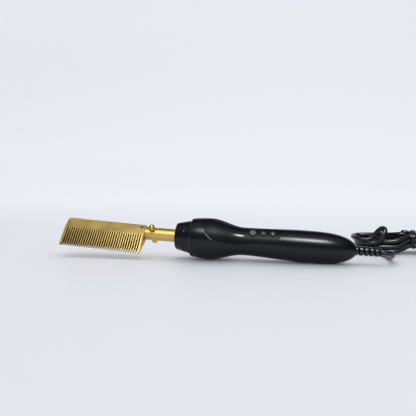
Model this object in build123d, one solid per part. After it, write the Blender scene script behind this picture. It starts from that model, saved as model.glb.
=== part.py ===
from build123d import *
import os
from math import atan2, asin, cos, degrees, pi, radians, sin, sqrt, tan

# An electric hot comb: a heated brass comb on a tube neck, a moulded two-part handle with
# a control panel, and a mains cord that is folded into a tied hank.
#
# The pieces are drawn in the handle's own frame, in millimetres. +X runs along the handle
# from the comb to the cord, and 0 is the handle's widest place. -Y is square to the comb's
# face, on the side of the control panel. +Z is the side of the comb's spine, and the teeth
# point to -Z. At the end every piece is laid down as the comb lies on a table.

# ---- how it lies ----
lying_roll = 47.5            # turn about the handle's axis: the teeth point down and to the front

# ---- comb plate ----
comb_free_end = -152.5
comb_inner_end = -66.0
comb_slope = 1.6             # degrees: spine and tips run down towards the handle
spine_top_at_free_end = 10.0
spine_height = 13.6          # from the top edge to the roots of the teeth
spine_thickness = 11.0
spine_rounding = 2.6
comb_height = 34.0           # from the top edge to the tips
tip_thickness = 1.2
comb_corner_radius = 4.5
guard_corner_radius = 1.2
tooth_gap_count = 33
tooth_gap_width = 1.2        # at the roots
tooth_gap_tip_width = 1.8    # at the tips, where the teeth are finer
tooth_gap_pitch = 2.5
first_gap_from_end = 3.75    # centre of the first gap, from the free end

# ---- heater in the spine ----
heater_radius = 2.6
heater_clearance = 0.1
heater_rise = 1.6            # above the neck's axis
heater_end_wall = 5.5
heater_end_gap = 0.5         # to the blind end of its bore
heater_socket_gap = 4.5      # from the heater to the neck's socket

# ---- neck tube ----
neck_radius = 6.45
neck_wall = 1.25
neck_front_wall = 2.0
neck_rear_end = -4.0
spigot_radius = 3.8
spigot_length = 10.0
spigot_wall = 0.9
fit_clearance = 0.05
comb_screw_station = -70.3
comb_screw_height = 3.0
comb_screw_radius = 0.9
comb_screw_head_radius = 1.35
comb_screw_head = 0.8

# ---- rest balls ----
ball_station = -58.0
ball_radius = 3.2
ball_gap = 0.05
ball_stem_radius = 1.2

# ---- collar and insulating bush ----
collar_front = -32.8
collar_front_radius = 13.3
collar_rounding = 1.3
collar_front_wall = 2.8
collar_bore_gap = 0.35
collar_step = 2.1            # how far the shell stands out past the collar
collar_spigot_end = -9.5
collar_ring_station = -23.2
collar_ring_width = 0.5
collar_ring_depth = 0.25
bush_radius = 10.9
bush_clearance = 0.1
neck_pin_station = -19.0
neck_pin_radius = 1.25
neck_pin_end_gap = 0.4       # under the bush's outer face

# ---- handle form: radius at stations along the axis ----
shell_front = -17.0
bulge_station = 1.0
bulge_radius = 20.5
shell_front_drop = 1.5       # how much smaller the front edge is than the bulge
waist_station = 36.0
waist_radius = 13.7
tail_station = 94.0
tail_radius = 15.5
tail_end = 143.0             # where the tail's rounded end would close
tail_fullness = 3.1
shell_wall = 2.2
shell_joint_gap = 0.05       # between the two half shells
bulkhead_thickness = 2.0
bulkhead_bore = 8.0

# ---- control panel ----
panel_front = -4.2
panel_side_gap = 6.5         # from the panel's widest point to the bulge's side
panel_front_radius = bulge_radius - panel_side_gap
panel_rear_centre = 64.0
panel_rear_radius = 7.5
panel_sink = 0.5
panel_gap = 0.3
panel_lip = 1.4
panel_lip_thickness = 1.0
panel_lip_gap = 0.1          # under the wall, and to the ribs below

# ---- display, buttons and switches ----
display_station = 29.0
display_length = 15.0
display_width = 9.5
display_gap = 0.1
display_depth = 2.0
display_module_length = 12.0
display_module_width = 7.6
power_station = 44.0
minus_station = 54.0
plus_station = 63.0
power_radius = 3.9
step_button_radius = 3.1
button_gap = 0.25
button_proud = 0.8
button_flange = 0.8
button_flange_lip = 0.9
button_flange_gap = 0.1
button_stem_radius = 1.5
button_travel = 0.5
button_end_gap = 0.1         # left above the switch when the button is down
switch_side = 6.0
switch_height = 2.5

# ---- circuit board and what it carries ----
board_front = 8.0
board_rear = 74.0
board_half_width = 8.3
board_thickness = 1.6
board_back = -3.0            # Y of the board's inner face
triac_station = 20.0
triac_length = 15.0
triac_half_width = 5.1
triac_height = 4.6
capacitor_station = 40.0
capacitor_length = 16.0
capacitor_half_width = 4.5
capacitor_height = 9.0
board_side_gap = 0.3         # to the ribs that hold it
board_rib_thickness = 1.5
back_rib_half_width = 9.2
front_rib_station = 12.0
rear_rib_station = 69.0
back_rib_station = 63.0

# ---- handle screws ----
front_screw_station = 1.0
front_screw_inset = 8.3       # under the bulge's side
front_screw_offset = bulge_radius - front_screw_inset
rear_screw_station = 88.0
boss_radius = 3.2
screw_radius = 1.3
screw_head_radius = 2.5
screw_head = 1.8
screw_recess = 1.0           # how deep the heads sit under the shell
screw_hole_gap = 0.08
screw_reach = 7.0            # past the joint, into the front boss

# ---- wires ----
lead_radius = 0.75
lead_spacing = 1.5
lead_height = 1.0
sensor_radius = 1.0
sensor_length = 5.0
sensor_height = -1.6
sensor_lead_radius = 0.4
sensor_lead_spacing = 0.5
sleeve_wall = 0.35
sleeve_gap = 0.1
fuse_radius = 1.6
fuse_length = 11.0
fuse_station = -50.0
mains_lead_radius = 0.9
mains_lead_landing = 8.0      # length of board that the mains wires lie along
mains_lead_pass = 8.0         # how far in front of the rear screw they start to close in
wire_seat_gap = 0.05
lead_touchdown = 3.0         # from the board's front edge to where a lead comes down
heater_lead_landing = 10.0   # from the same edge to the lead's end
sensor_lead_landing = 9.0

# ---- cord, clamp and strain relief ----
cord_radius = 2.65
cord_inner_end = 112.0
clamp_station = 120.0
clamp_length = 5.0
clamp_half_width = 8.4
clamp_thickness = 2.6
clamp_screw_offset = 6.0
clamp_screw_radius = 0.9
clamp_screw_head_radius = 1.7
clamp_screw_head = 1.2
clamp_screw_reach = 5.0
clamp_post_radius = 2.2
relief_base_radius = 4.3
relief_tip_radius = 3.9
relief_inner_start = 129.0
relief_flange_radius = 5.6
relief_flange_start = 134.5
relief_flange = 2.4
relief_seat_gap = 0.1
relief_end = 164.4
relief_groove_count = 5
relief_first_groove = 144.0
relief_groove_pitch = 4.65
relief_groove_width = 1.3
relief_groove_depth = 0.8
relief_rib_thickness = 2.0

# ---- hank and tie, as they lie on the table (X along the handle, Z up) ----
hank_left = 140.0
hank_right = 268.0
hank_middle_y = 88.0
hank_loop_width = 46.0
hank_pinch_station = 207.5
hank_pinch_width = 27.0
hank_height = 20.5
hank_lift = 4.0              # how far the tied middle stands off the table
hank_rounding = 5.0
floor_gap = 0.05
tie_width = 4.0
tie_thickness = 0.8
tie_gap = 0.1
tie_tail_length = 13.0
tie_tail_width = 2.6

# ---- plug, lying flat with its blades towards -Y ----
plug_x = 255.0
plug_entry_y = 36.5          # where the cord enters its sleeve
plug_sleeve_length = 20.0
plug_sleeve_tip_radius = 3.5
plug_sleeve_root_radius = 5.2
plug_body_length = 31.0
plug_body_width = 25.0
plug_body_thickness = 17.0
plug_rounding = 4.0
blade_length = 16.0
blade_root = 8.0             # how deep the blades are moulded in
blade_width = 6.3
blade_thickness = 1.5
blade_spacing = 12.7
blade_hole_radius = 1.6


# ================= the handle's form =================

shell_front_radius = bulge_radius - shell_front_drop


def blend(a, b, share):
    """A smooth step from a to b, level at both ends."""
    return a + (b - a) * (1 - cos(pi * share)) / 2


def handle_radius(x):
    """The handle's outer radius at a station on its axis."""
    if x <= bulge_station:
        share = (x - bulge_station) / (shell_front - bulge_station)
        return bulge_radius - (bulge_radius - shell_front_radius) * share ** 2
    if x <= waist_station:
        share = (x - bulge_station) / (waist_station - bulge_station)
        return blend(bulge_radius, waist_radius, share)
    if x <= tail_station:
        share = (x - waist_station) / (tail_station - waist_station)
        return blend(waist_radius, tail_radius, share)
    share = min(1.0, (x - tail_station) / (tail_end - tail_station))
    return tail_radius * sqrt(1 - share ** tail_fullness)


def tail_station_of(radius):
    """The station on the rounded tail where the handle has this radius."""
    share = (1 - (radius / tail_radius) ** 2) ** (1 / tail_fullness)
    return tail_station + share * (tail_end - tail_station)


def spaced(first, last, count):
    return [first + (last - first) * k / count for k in range(count + 1)]


def handle_form(sink, first, last):
    """The handle's form from one station to another, sunk evenly under its surface."""
    long_part = spaced(first, tail_station, 16)
    tail_part = [tail_station + (last - tail_station) * sin(pi / 2 * k / 12) for k in range(1, 13)]
    outline = [(x, handle_radius(x) - sink) for x in long_part + tail_part]
    edges = [
        Spline(*outline),
        Line(outline[-1], (last, 0)),
        Line((last, 0), (first, 0)),
        Line((first, 0), outline[0]),
    ]
    return revolve(make_face(edges), Axis.X)


def along_x(radius, first, last, y=0.0, z=0.0):
    """A round bar along X between two stations."""
    length = last - first
    return Pos(first + length / 2, y, z) * Rot(Y=90) * Cylinder(radius, length)


def along_y(radius, first, last, x=0.0, z=0.0):
    """A round bar along Y between two heights."""
    length = last - first
    return Pos(x, first + length / 2, z) * Rot(X=90) * Cylinder(radius, length)


def block(x0, x1, y0, y1, z0, z1):
    return Pos((x0 + x1) / 2, (y0 + y1) / 2, (z0 + z1) / 2) * Box(x1 - x0, y1 - y0, z1 - z0)


def turned(*points):
    """A ring or plug turned about the handle's axis from its (station, radius) outline."""
    return revolve(make_face(Polyline(*points, close=True)), Axis.X)


def wire(radius, points, bend):
    """A round wire along straight runs joined by arcs of one radius."""
    path = FilletPolyline(*points, radius=bend)
    section = Plane(origin=path @ 0, z_dir=path % 0) * Circle(radius)
    return sweep(section, path=path)


big = 400.0
front_half = block(-big, big, -big, -shell_joint_gap / 2, -big, big)
back_half = block(-big, big, shell_joint_gap / 2, big, -big, big)

# ================= comb plate =================

comb_length = comb_inner_end - comb_free_end
comb_drop = tan(radians(comb_slope))
root_at_free_end = spine_top_at_free_end - spine_height
tips_at_free_end = spine_top_at_free_end - comb_height
heater_bore_radius = heater_radius + heater_clearance
spigot_end = comb_inner_end - spigot_length
tip_rounding = 0.45 * tip_thickness


def fall(x):
    """How far the comb's sloping lines have come down at a station."""
    return (x - comb_free_end) * comb_drop


def comb_section():
    """The plate's section: a thick rounded spine that thins towards the tips."""
    half, thin = spine_thickness / 2, tip_thickness / 2
    top, root, tip = spine_top_at_free_end, root_at_free_end, tips_at_free_end
    outline = Polyline((-half, top), (half, top), (half, root), (thin, tip), (-thin, tip),
                       (-half, root), close=True)
    face = make_face(outline)
    corners = face.vertices()
    face = fillet(corners.filter_by(lambda v: v.Y > root + 1), spine_rounding)
    return fillet(face.vertices().filter_by(lambda v: v.Y < tip + tip_thickness / 4), tip_rounding)


def comb_outline():
    """The plate seen square to its face, with rounded corners."""
    top, tip = spine_top_at_free_end, tips_at_free_end
    outer = Polyline((comb_free_end, top), (comb_inner_end, top - fall(comb_inner_end)),
                     (comb_inner_end, tip - fall(comb_inner_end)), (comb_free_end, tip), close=True)
    face = make_face(outer)
    face = fillet(face.vertices().sort_by(Axis.Y)[-1], comb_corner_radius)
    low = face.vertices().filter_by(lambda v: v.Y < tip + 1)
    return fillet(low, guard_corner_radius)


def make_comb_plate():
    along = Vector(1, 0, -comb_drop).normalized()
    start = Plane(origin=(comb_free_end - 1, 0, comb_drop), x_dir=(0, 1, 0), z_dir=(1, 0, 0))
    bar = extrude(start * comb_section(), amount=(comb_length + 2) / along.X, dir=along)
    outline = extrude(Plane.XZ * comb_outline(), amount=spine_thickness, both=True)
    plate = bar & outline
    gaps = []
    for k in range(tooth_gap_count):
        x = comb_free_end + first_gap_from_end + k * tooth_gap_pitch
        root = root_at_free_end - fall(x) - tooth_gap_width / 2
        tip = tips_at_free_end - fall(x) - 2
        half, half_tip = tooth_gap_width / 2, tooth_gap_tip_width / 2
        slot = make_face(Polyline((x - half, root), (x + half, root), (x + half_tip, tip),
                                  (x - half_tip, tip), close=True))
        gaps.append(extrude(Plane.XZ * slot, amount=spine_thickness, both=True))
        gaps.append(along_y(tooth_gap_width / 2, -spine_thickness, spine_thickness, x, root))
    plate = plate - gaps
    plate -= along_x(heater_bore_radius, comb_free_end + heater_end_wall, spigot_end, 0, heater_rise)
    plate -= along_x(spigot_radius + fit_clearance, spigot_end, comb_inner_end + 1)
    face = -spine_thickness / 2
    plate -= along_y(comb_screw_radius + fit_clearance, face - 1, 0, comb_screw_station, comb_screw_height)
    plate -= along_y(comb_screw_head_radius + fit_clearance, face - 1, face + comb_screw_head,
                     comb_screw_station, comb_screw_height)
    return plate


def make_comb_screw():
    face = -spine_thickness / 2
    reach = -sqrt(spigot_radius ** 2 - comb_screw_height ** 2) + spigot_wall
    shank = along_y(comb_screw_radius, face, reach, comb_screw_station, comb_screw_height)
    head = along_y(comb_screw_head_radius, face, face + comb_screw_head, comb_screw_station,
                   comb_screw_height)
    slot = block(comb_screw_station - 2, comb_screw_station + 2, face - 1, face + 0.35,
                 comb_screw_height - 0.2, comb_screw_height + 0.2)
    return shank + head - slot


heater_front = comb_free_end + heater_end_wall + heater_end_gap
heater_back = spigot_end - heater_socket_gap


def make_heater_cartridge():
    body = along_x(heater_radius, heater_front, heater_back, 0, heater_rise)
    return chamfer(body.edges().filter_by(GeomType.CIRCLE), 0.4)


# ================= neck tube and rest balls =================

neck_bore_radius = neck_radius - neck_wall
ball_offset = neck_radius + ball_radius + ball_gap


def make_neck_tube():
    tube = along_x(neck_radius, comb_inner_end, neck_rear_end)
    tube = chamfer(tube.edges().filter_by(GeomType.CIRCLE).sort_by(Axis.X)[0], 0.5)
    tube += along_x(spigot_radius, spigot_end + fit_clearance, comb_inner_end)
    tube -= along_x(neck_bore_radius, comb_inner_end + neck_front_wall, neck_rear_end + 1)
    tube -= along_x(spigot_radius - spigot_wall, spigot_end - 1, comb_inner_end + neck_front_wall + 1)
    tube -= along_y(comb_screw_radius + fit_clearance, -spigot_radius - 1, 0, comb_screw_station,
                    comb_screw_height)
    tube -= along_y(ball_stem_radius + fit_clearance, -big / 10, big / 10, ball_station)
    return tube - pin_bar(neck_pin_radius + fit_clearance, -2 * neck_radius, 0)


def pin_bar(radius, low, high):
    """A round bar along Z at the neck pin's station."""
    return Pos(neck_pin_station, 0, (low + high) / 2) * Cylinder(radius, high - low)


def make_rest_ball(side):
    """A polished ball on a riveted stem, on the front (-1) or the back (1) of the neck."""
    ball = Pos(ball_station, side * ball_offset, 0) * Sphere(ball_radius)
    inner, outer = neck_bore_radius - 0.3, ball_offset
    first, last = (inner, outer) if side > 0 else (-outer, -inner)
    return ball + along_y(ball_stem_radius, first, last, ball_station)


def make_neck_sleeve():
    """Glass-fibre sleeving that keeps the wires off the hot tube."""
    outer = neck_bore_radius - 0.3 - sleeve_gap
    first, last = comb_inner_end + neck_front_wall + 0.5, neck_rear_end
    return along_x(outer, first, last) - along_x(outer - sleeve_wall, first - 1, last + 1)


# ================= collar, bush and pin =================

collar_rear_radius = shell_front_radius - collar_step
collar_spigot_radius = shell_front_radius - shell_wall - 0.2
collar_cavity_radius = bush_radius + bush_clearance
bush_front = collar_front + collar_front_wall + 0.1


def make_collar():
    slope = (collar_rear_radius - collar_front_radius) / (shell_front - collar_front)
    ring = turned(
        (collar_front, neck_radius + collar_bore_gap),
        (collar_front, collar_front_radius),
        (shell_front - 0.1, collar_rear_radius),
        (shell_front - 0.1, collar_spigot_radius),
        (collar_spigot_end, collar_spigot_radius),
        (collar_spigot_end, collar_cavity_radius),
        (collar_front + collar_front_wall, collar_cavity_radius),
        (collar_front + collar_front_wall, neck_radius + collar_bore_gap),
    )
    rim = ring.edges().filter_by(GeomType.CIRCLE).filter_by(
        lambda e: abs(e.radius - collar_front_radius) < 0.01)
    ring = fillet(rim, collar_rounding)
    groove_radius = collar_front_radius + slope * (collar_ring_station - collar_front)
    half = collar_ring_width / 2
    return ring - turned(
        (collar_ring_station - half, groove_radius - collar_ring_depth),
        (collar_ring_station + half, groove_radius - collar_ring_depth),
        (collar_ring_station + half, groove_radius + 2),
        (collar_ring_station - half, groove_radius + 2),
    )


def make_insulator_bush():
    bush = along_x(bush_radius, bush_front, collar_spigot_end)
    bush -= along_x(neck_radius + fit_clearance, bush_front - 1, collar_spigot_end + 1)
    return bush - pin_bar(neck_pin_radius + fit_clearance, -2 * bush_radius, 0)


def make_neck_pin():
    """A pin through the bush and the tube's lower wall. It stops short of the wires."""
    return pin_bar(neck_pin_radius, neck_pin_end_gap - bush_radius, -neck_bore_radius)


# ================= control panel =================

panel_front_centre = panel_front + panel_front_radius


def teardrop(grow):
    """The panel's outline: a wide round end and a narrow one, joined by tangent lines."""
    wide, narrow = panel_front_radius + grow, panel_rear_radius + grow
    lean = asin((wide - narrow) / (panel_rear_centre - panel_front_centre))
    a = (panel_front_centre + wide * sin(lean), wide * cos(lean))
    b = (panel_rear_centre + narrow * sin(lean), narrow * cos(lean))
    edges = [
        ThreePointArc((a[0], -a[1]), (panel_front_centre - wide, 0), a),
        Line(a, b),
        ThreePointArc(b, (panel_rear_centre + narrow, 0), (b[0], -b[1])),
        Line((b[0], -b[1]), (a[0], -a[1])),
    ]
    return extrude(Plane.XZ * make_face(edges), amount=2 * bulge_radius)


panel_inner_sink = shell_wall + panel_lip_gap + panel_lip_thickness
shell_end = tail_station_of(relief_base_radius + 0.9)
cavity_end = relief_flange_start + relief_flange + 2 * relief_seat_gap


def panel_y(x, sink):
    """Y of a surface that lies this far under the handle's form, on the panel's middle line."""
    return -(handle_radius(x) - sink)


def make_control_panel():
    surface = handle_form(panel_sink, shell_front, shell_end)
    lip_top = handle_form(shell_wall + panel_lip_gap, shell_front, cavity_end)
    inside = handle_form(panel_inner_sink, shell_front, cavity_end - 1)
    panel = (surface & teardrop(-panel_gap)) + (lip_top & teardrop(panel_lip)) - inside
    panel = panel & block(-big, big, -big, -board_half_width * 0.6, -big, big)
    panel -= along_y(power_radius + button_gap, -big, 0, power_station)
    for station in (minus_station, plus_station):
        panel -= along_y(step_button_radius + button_gap, -big, 0, station)
    return panel - display_prism(0)


def display_prism(shrink):
    """The display window's outline with rounded corners, through the panel."""
    outline = RectangleRounded(display_length - 2 * shrink, display_width - 2 * shrink, 1.5)
    return extrude(Plane.XZ * Pos(display_station, 0) * outline, amount=2 * bulge_radius)


def make_display_window():
    surface = handle_form(panel_sink + 0.05, shell_front, shell_end)
    under = handle_form(panel_sink + display_depth, shell_front, shell_end - 1)
    return (surface - under) & display_prism(display_gap)


board_front_face = board_back - board_thickness
switch_top = board_front_face - switch_height
display_module_top = panel_y(waist_station, panel_inner_sink) + 0.2


def make_display_module():
    half, width = display_module_length / 2, display_module_width / 2
    body = block(display_station - half, display_station + half, display_module_top,
                 board_front_face, -width, width)
    return fillet(body.edges().filter_by(Axis.Y), 0.6)


def make_button(station, radius):
    """A push button: domed cap, retaining flange under the panel, and stem to its switch."""
    cap_top = panel_y(station, panel_sink) - button_proud
    reach = radius + button_flange_lip
    narrowest = min(handle_radius(station - reach), handle_radius(station + reach)) - panel_inner_sink
    flange_top = button_flange_gap - sqrt(narrowest ** 2 - reach ** 2)
    flange_low = flange_top + button_flange
    stem_end = switch_top - button_travel - button_end_gap
    cap = along_y(radius, cap_top, flange_low, station)
    cap = fillet(cap.edges().filter_by(GeomType.CIRCLE).sort_by(Axis.Y)[0], 0.5)
    flange = along_y(radius + button_flange_lip, flange_top, flange_low, station)
    stem = along_y(button_stem_radius, flange_low, stem_end, station)
    return cap + flange + stem


def make_button_switches():
    half = switch_side / 2
    switches = []
    for station in (power_station, minus_station, plus_station):
        body = block(station - half, station + half, switch_top, board_front_face, -half, half)
        switches.append(fillet(body.edges().filter_by(Axis.Y), 0.4))
    return Compound(children=switches)


# ================= circuit board =================

def make_circuit_board():
    board = block(board_front, board_rear, board_front_face, board_back,
                  -board_half_width, board_half_width)
    return fillet(board.edges().filter_by(Axis.Y), 1.0)


def make_triac():
    body = block(triac_station, triac_station + triac_length, board_back, board_back + triac_height,
                 -triac_half_width, triac_half_width)
    return body - along_y(1.8, board_back - 1, board_back + triac_height + 1, triac_station + 3)


def make_dropper_capacitor():
    body = block(capacitor_station, capacitor_station + capacitor_length, board_back,
                 board_back + capacitor_height, -capacitor_half_width, capacitor_half_width)
    return fillet(body.edges().filter_by(Axis.Y), 1.2)


# ================= half shells =================

screw_places = [
    (front_screw_station, front_screw_offset),
    (front_screw_station, -front_screw_offset),
    (rear_screw_station, 0.0),
]
clamp_low = cord_radius + fit_clearance
relief_bore_radius = cord_radius + fit_clearance
relief_hole_radius = relief_base_radius + relief_seat_gap


def head_seat(x, z):
    """Y of the flat that a handle screw's head bears on, in the back shell."""
    surface = sqrt(handle_radius(x) ** 2 - (abs(z) + screw_head_radius) ** 2)
    return surface - screw_recess - screw_head


def shell_body():
    """The hollow handle before it is parted, with its bulkheads and its cord end."""
    body = handle_form(0, shell_front, shell_end)
    hollow = handle_form(shell_wall, shell_front, cavity_end)
    hollow += along_x(shell_front_radius - shell_wall, shell_front - 1, shell_front + 1)
    shell = body - hollow
    bulkhead = handle_form(shell_wall / 2, shell_front, shell_end) & block(
        collar_spigot_end + 0.1, collar_spigot_end + 0.1 + bulkhead_thickness, -big, big, -big, big)
    shell += bulkhead - along_x(bulkhead_bore, shell_front, 0)
    rib_end = relief_flange_start - relief_seat_gap
    rib = handle_form(shell_wall / 2, shell_front, shell_end) & block(
        rib_end - relief_rib_thickness, rib_end, -big, big, -big, big)
    shell += rib
    shell -= along_x(relief_hole_radius, rib_end - relief_rib_thickness - 1, shell_end + 1)
    mouth = shell.edges().filter_by(GeomType.CIRCLE).filter_by(
        lambda e: abs(e.radius - shell_front_radius) < 0.01)
    return fillet(mouth, 0.6)


def inner_form():
    return handle_form(shell_wall / 2, shell_front, cavity_end)


def make_handle_shell_front():
    shell = shell_body()
    inside = inner_form()
    for x, z in screw_places:
        shell += along_y(boss_radius, -big / 2, 0, x, z) & inside
    for station in (front_rib_station, rear_rib_station):
        rib = block(station, station + board_rib_thickness, -big, 0, -big, big)
        rib -= block(board_front, board_rear, board_front_face, 1,
                     -board_half_width - board_side_gap, board_half_width + board_side_gap)
        shell += rib & inside
    post_half = clamp_length / 2
    cradle = block(clamp_station - post_half, clamp_station + post_half, -big, 0,
                   -clamp_half_width, clamp_half_width)
    shell += cradle & inside
    shell -= along_x(cord_radius + fit_clearance, clamp_station - clamp_length, clamp_station + clamp_length)
    shell = (shell - panel_room()) & front_half
    for x, z in screw_places:
        shell -= along_y(screw_radius + screw_hole_gap, -screw_reach - 1, 1, x, z)
    for z in (-clamp_screw_offset, clamp_screw_offset):
        shell -= along_y(clamp_screw_radius + screw_hole_gap, -clamp_screw_reach, 1, clamp_station, z)
    return shell


def panel_room():
    """Room for the panel in the shell's wall, and for its lip over the ribs and bosses."""
    under_wall = handle_form(shell_wall, shell_front, cavity_end) & teardrop(panel_lip + panel_lip_gap)
    through_wall = teardrop(0) - handle_form(shell_wall + 0.1, shell_front, cavity_end)
    below = handle_form(panel_inner_sink + panel_lip_gap, shell_front, cavity_end - 1)
    return through_wall + (under_wall - below)


def make_handle_shell_back():
    shell = shell_body()
    inside = inner_form()
    for x, z in screw_places:
        shell += along_y(boss_radius, 0, big / 2, x, z) & inside
    shell = shell & back_half
    rib = block(back_rib_station, back_rib_station + board_rib_thickness, board_back + 0.1, big,
                -back_rib_half_width, back_rib_half_width)
    shell += rib & inside
    for x, z in screw_places:
        shell -= along_y(screw_radius + screw_hole_gap, -1, big / 2, x, z)
        shell -= along_y(screw_head_radius + 0.2, head_seat(x, z), big / 2, x, z)
    return shell


def make_handle_screws():
    screws = []
    for x, z in screw_places:
        seat = head_seat(x, z)
        head = along_y(screw_head_radius, seat, seat + screw_head, x, z)
        head = fillet(head.edges().filter_by(GeomType.CIRCLE).sort_by(Axis.Y)[-1], 0.6)
        screw = head + along_y(screw_radius, -screw_reach, seat, x, z)
        depth = seat + screw_head - 0.9
        for cross in (Box(3.0, 2.0, 0.6), Box(0.6, 2.0, 3.0)):
            screw -= Pos(x, depth + 1.0, z) * cross
        screws.append(screw)
    return Compound(children=screws)


# ================= wires =================

sleeve_end = neck_rear_end


def make_heater_leads():
    """Two leads from the heater to the board. One goes through the thermal fuse."""
    first = heater_back + wire_seat_gap
    board_y = board_back + lead_radius + wire_seat_gap
    ways = []
    for side, z_end in ((-1, 2.6), (1, 5.2)):
        y = side * lead_spacing
        tail = [
            (0, y, lead_height),
            (board_front + lead_touchdown, board_y, z_end),
            (board_front + heater_lead_landing, board_y, z_end),
        ]
        if side < 0:
            ways.append([(first, y, lead_height)] + tail)
        else:
            fuse_end = fuse_station + fuse_length + wire_seat_gap
            ways.append([(fuse_end, y, lead_height)] + tail)
    leads = [wire(lead_radius, way, 3.0) for way in ways]
    leads.append(along_x(lead_radius, first, fuse_station - wire_seat_gap, lead_spacing, lead_height))
    return Compound(children=leads)


def make_thermal_fuse():
    body = along_x(fuse_radius, fuse_station, fuse_station + fuse_length, lead_spacing, lead_height)
    return fillet(body.edges().filter_by(GeomType.CIRCLE), 0.5)


sensor_front = spigot_end + 1.0


def make_temperature_sensor():
    body = along_x(sensor_radius, sensor_front, sensor_front + sensor_length, 0, sensor_height)
    return fillet(body.edges().filter_by(GeomType.CIRCLE), 0.4)


def make_sensor_leads():
    leads = []
    board_y = board_back + sensor_lead_radius + wire_seat_gap
    for side, z_end in ((-1, -1.2), (1, -2.9)):
        y = side * sensor_lead_spacing
        first = sensor_front + sensor_length + wire_seat_gap
        leads.append(wire(sensor_lead_radius, [
            (first, y, sensor_height),
            (-1, y, sensor_height),
            (board_front + lead_touchdown, board_y, z_end),
            (board_front + sensor_lead_landing, board_y, z_end),
        ], 2.5))
    return Compound(children=leads)


def make_mains_leads():
    board_y = board_back + mains_lead_radius + wire_seat_gap
    way_out = boss_radius + mains_lead_radius + 0.6
    leads = []
    for side in (-1, 1):
        leads.append(wire(mains_lead_radius, [
            (cord_inner_end - wire_seat_gap, 0, side * 1.3),
            (cord_inner_end - 6, 0, side * 1.6),
            (rear_screw_station + 6, -0.8, side * way_out),
            (rear_screw_station - mains_lead_pass, -2.0, side * way_out),
            (board_rear - 2, board_y, side * 3.2),
            (board_rear - mains_lead_landing, board_y, side * 3.2),
        ], 2.5))
    return Compound(children=leads)


# ================= cord end of the handle =================

def make_cord_inner():
    return along_x(cord_radius, cord_inner_end, relief_end)


def make_cord_clamp():
    half = clamp_length / 2
    bar = block(clamp_station - half, clamp_station + half, 0.1, clamp_low + clamp_thickness,
                -clamp_half_width, clamp_half_width)
    bar = fillet(bar.edges().filter_by(Axis.X).sort_by(Axis.Y)[-2:], 1.0)
    bar -= along_x(clamp_low, clamp_station - clamp_length, clamp_station + clamp_length)
    for z in (-clamp_screw_offset, clamp_screw_offset):
        bar -= along_y(clamp_screw_radius + screw_hole_gap, -1, 2 * clamp_thickness + cord_radius,
                       clamp_station, z)
    return bar


def make_clamp_screws():
    seat = clamp_low + clamp_thickness
    screws = []
    for z in (-clamp_screw_offset, clamp_screw_offset):
        head = along_y(clamp_screw_head_radius, seat, seat + clamp_screw_head, clamp_station, z)
        head = fillet(head.edges().filter_by(GeomType.CIRCLE).sort_by(Axis.Y)[-1], 0.5)
        screws.append(head + along_y(clamp_screw_radius, 0.3 - clamp_screw_reach, seat, clamp_station, z))
    return Compound(children=screws)


def relief_radius(x):
    """The strain relief's outer radius outside the handle."""
    share = (x - shell_end) / (relief_end - shell_end)
    return relief_base_radius + (relief_tip_radius - relief_base_radius) * share


def make_strain_relief():
    flange_end = relief_flange_start + relief_flange
    body = turned(
        (relief_inner_start, relief_bore_radius),
        (relief_inner_start, relief_tip_radius),
        (relief_flange_start, relief_tip_radius),
        (relief_flange_start, relief_flange_radius),
        (flange_end, relief_flange_radius),
        (flange_end, relief_base_radius),
        (shell_end, relief_base_radius),
        (relief_end, relief_tip_radius),
        (relief_end, relief_bore_radius),
    )
    for k in range(relief_groove_count):
        x = relief_first_groove + k * relief_groove_pitch
        floor = relief_radius(x) - relief_groove_depth
        half = relief_groove_width / 2
        body -= turned((x - half, floor), (x + half, floor), (x + half, floor + 3), (x - half, floor + 3))
    return body


# ================= laying the comb down =================

# the handle rests on its bulge and its tail, so the comb's end is held up
lying_tilt = degrees(atan2(bulge_radius - tail_radius, tail_station - bulge_station))
lay_down = Rot(Y=lying_tilt) * Rot(X=-lying_roll)

pieces = {
    "comb_plate": make_comb_plate(),
    "heater_cartridge": make_heater_cartridge(),
    "temperature_sensor": make_temperature_sensor(),
    "comb_screw": make_comb_screw(),
    "neck_tube": make_neck_tube(),
    "rest_ball_upper": make_rest_ball(-1),
    "rest_ball_lower": make_rest_ball(1),
    "neck_sleeve": make_neck_sleeve(),
    "thermal_fuse": make_thermal_fuse(),
    "heater_leads": make_heater_leads(),
    "sensor_leads": make_sensor_leads(),
    "collar": make_collar(),
    "insulator_bush": make_insulator_bush(),
    "neck_pin": make_neck_pin(),
    "handle_shell_front": make_handle_shell_front(),
    "handle_shell_back": make_handle_shell_back(),
    "handle_screws": make_handle_screws(),
    "control_panel": make_control_panel(),
    "display_window": make_display_window(),
    "display_module": make_display_module(),
    "power_button": make_button(power_station, power_radius),
    "minus_button": make_button(minus_station, step_button_radius),
    "plus_button": make_button(plus_station, step_button_radius),
    "button_switches": make_button_switches(),
    "circuit_board": make_circuit_board(),
    "triac": make_triac(),
    "dropper_capacitor": make_dropper_capacitor(),
    "mains_leads": make_mains_leads(),
    "cord_inner": make_cord_inner(),
    "cord_clamp": make_cord_clamp(),
    "clamp_screws": make_clamp_screws(),
    "strain_relief": make_strain_relief(),
}
lying = {name: lay_down * piece for name, piece in pieces.items()}
box = Compound(children=[Compound(piece.solids()) for piece in lying.values()]).bounding_box()
to_origin = Pos(-(box.min.X + box.max.X) / 2, -(box.min.Y + box.max.Y) / 2, -box.min.Z)
placement = to_origin * lay_down


def on_table(x, y, z):
    """Where a point of the handle's frame lies on the table."""
    return (placement * Pos(x, y, z)).position


laid = {name: placement * piece for name, piece in pieces.items()}

# ================= cord on the table =================

cord_exit = on_table(relief_end, 0, 0)
cord_heading = (on_table(relief_end + 1, 0, 0) - cord_exit).normalized()


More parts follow.
